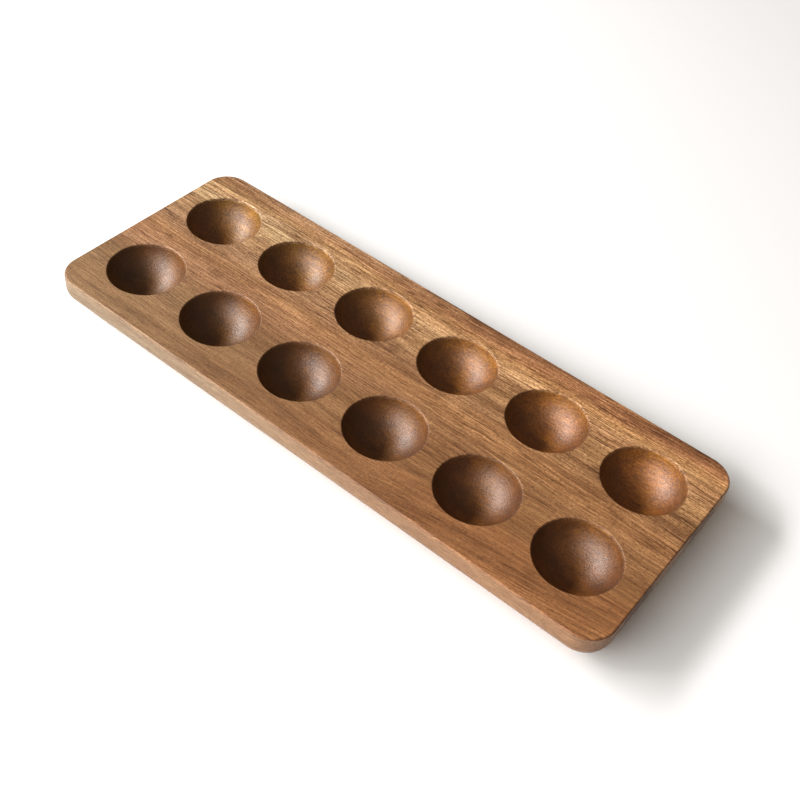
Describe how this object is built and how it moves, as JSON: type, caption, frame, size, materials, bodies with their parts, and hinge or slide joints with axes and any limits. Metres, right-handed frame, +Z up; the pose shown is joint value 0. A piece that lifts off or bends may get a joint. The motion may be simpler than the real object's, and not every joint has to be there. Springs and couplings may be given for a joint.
{
  "type": "egg holder tray",
  "caption": "Long rectangular hardwood board with rounded corners and two rows of round-bottomed bowls that hold eggs upright.",
  "frame": {"origin": "middle of the flat underside, on the surface the tray rests on", "axes": "+X along the length, +Y across the two rows of bowls, +Z up out of the bowls"},
  "size_m": [0.3, 0.115, 0.02],
  "materials": {
    "oiled_wood": "satin"
  },
  "bodies": {
    "root": {"tray_board": "oiled_wood"}
  },
  "joints": []
}
